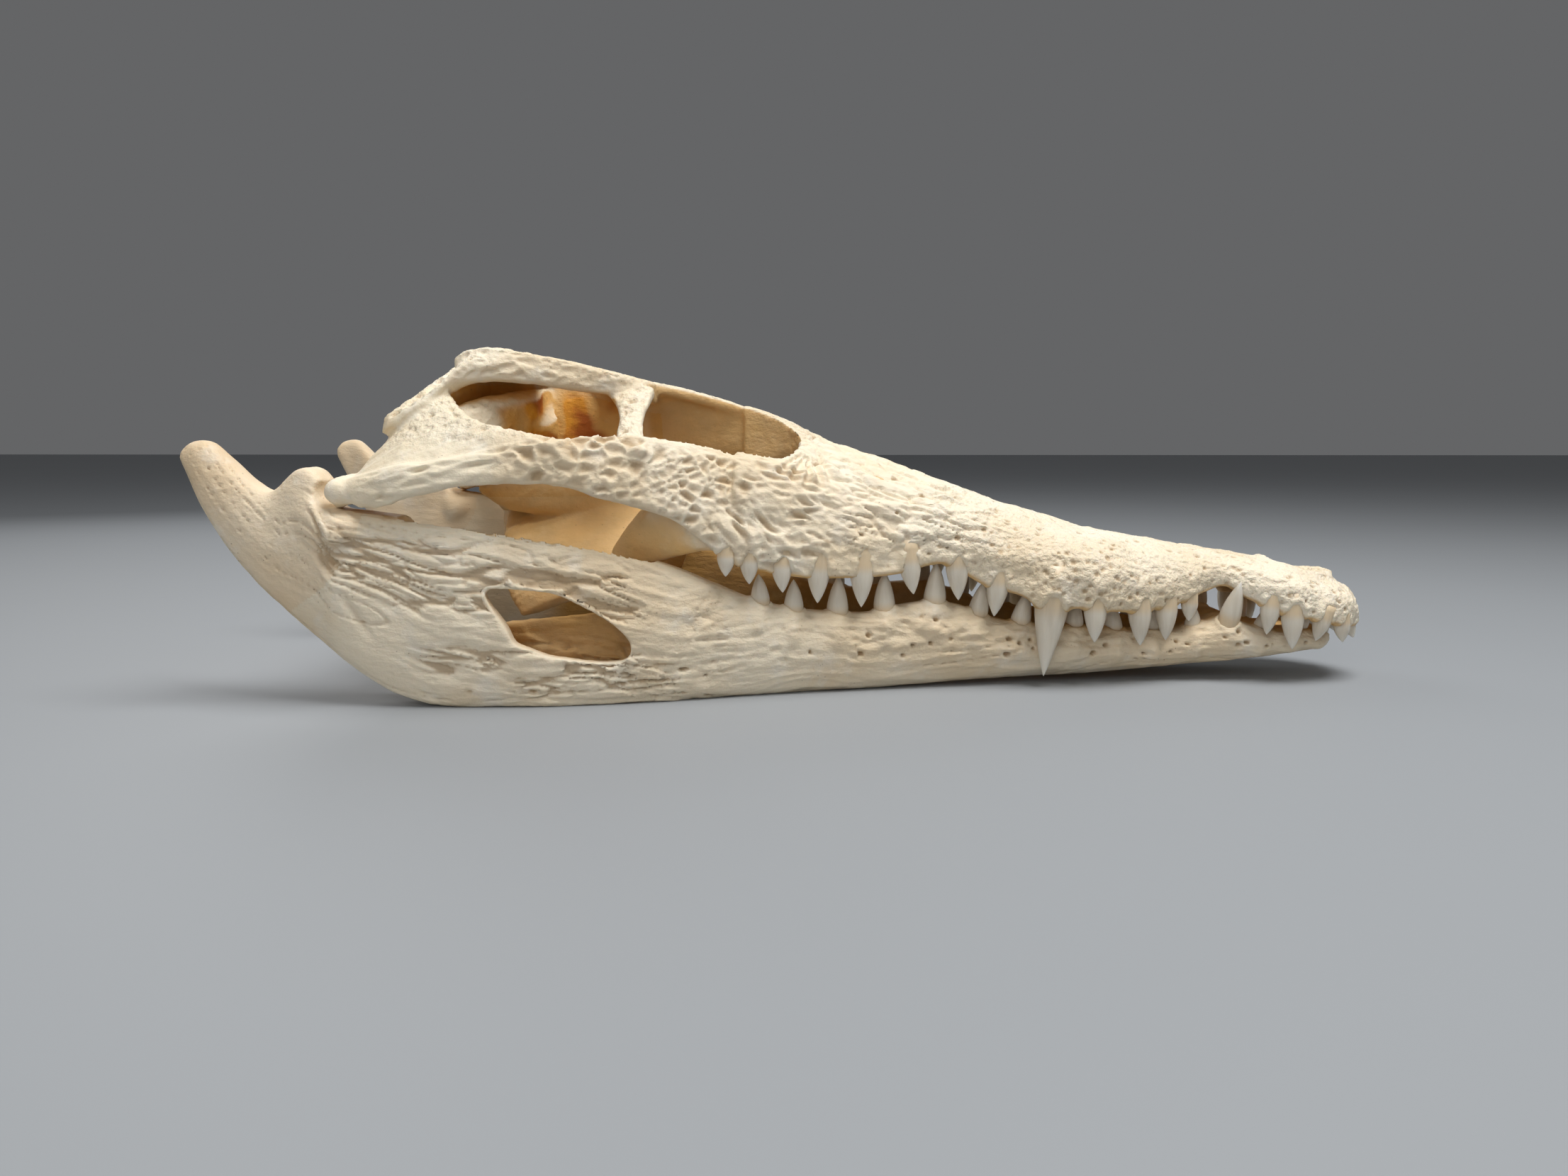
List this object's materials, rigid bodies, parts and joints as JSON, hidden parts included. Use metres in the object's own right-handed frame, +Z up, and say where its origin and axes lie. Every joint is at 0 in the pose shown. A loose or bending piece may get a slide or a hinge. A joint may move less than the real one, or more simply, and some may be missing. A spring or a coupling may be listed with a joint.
{
  "type": "crocodile skull",
  "caption": "Life-size crocodile skull with its lower jaw closed, resting on the jaw's lower edge, with toothed rows, open orbits and an open jaw window.",
  "frame": {"origin": "middle of the bounding box, on the surface that the lower jaw rests on", "axes": "+X towards the tip of the snout, +Y towards the animal's left, +Z up"},
  "size_m": [0.4244, 0.1574, 0.1229],
  "materials": {
    "ivory_bone": "dry matt bone, cream, pitted",
    "pale_bone": "dry bone, pale and smooth",
    "amber_bone": "dry bone, stained amber",
    "jaw_bone": "dry bone, cream with long grooves",
    "joint_bone": "dry bone, yellowed and smooth",
    "tooth": "satin enamel, grey white, yellow at the root"
  },
  "bodies": {
    "root": {"premaxillae": "ivory_bone", "maxillae": "ivory_bone", "skull_roof": "ivory_bone", "jugal_left": "ivory_bone", "jugal_right": "ivory_bone", "quadrate_left": "pale_bone", "quadrate_right": "pale_bone", "pterygoids": "pale_bone", "palatines": "pale_bone", "braincase": "amber_bone", "dentary_left": "jaw_bone", "dentary_right": "jaw_bone", "surangular_left": "jaw_bone", "surangular_right": "jaw_bone", "articular_left": "joint_bone", "articular_right": "joint_bone"}
  },
  "joints": []
}
